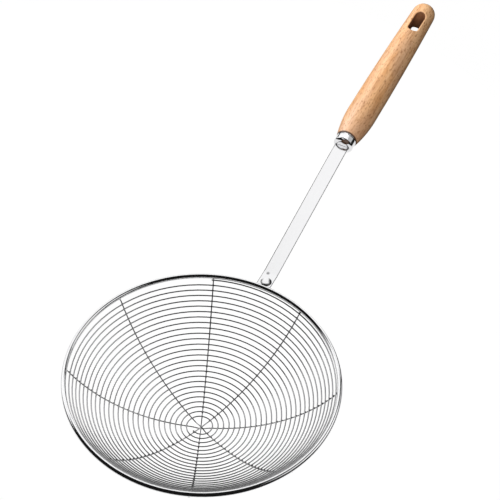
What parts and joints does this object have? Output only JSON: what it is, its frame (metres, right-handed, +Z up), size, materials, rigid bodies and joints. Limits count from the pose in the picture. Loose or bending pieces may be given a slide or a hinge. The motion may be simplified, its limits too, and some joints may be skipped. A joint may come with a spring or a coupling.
{
  "type": "spider skimmer",
  "caption": "Kitchen skimmer with a spiral wire basket on ribs, a flat metal handle bar and a turned wooden grip with a hanging slot.",
  "frame": {"origin": "centre of the basket's mouth, in the plane of the rim wire's centreline", "axes": "+Z up out of the basket's mouth, +Y out along the handle, +X to the right seen from the basket's front"},
  "size_m": [0.2038, 0.5341, 0.0959],
  "materials": {
    "rim_chrome": "bright chrome plate on a thick round wire",
    "wire_chrome": "bright chrome plate on thin round wire",
    "bar_chrome": "bright chrome plate on a flat strip",
    "ferrule_chrome": "polished chrome plate on a pressed cap",
    "beech": "satin turned beech with fine flecks"
  },
  "bodies": {
    "root": {"rim_ring": "rim_chrome", "spiral_wire": "wire_chrome", "handle_bar": "bar_chrome", "ferrule": "ferrule_chrome", "wooden_grip": "beech", "rib_wire_1": "wire_chrome", "rib_wire_2": "wire_chrome", "rib_wire_3": "wire_chrome", "rib_wire_4": "wire_chrome"}
  },
  "joints": []
}
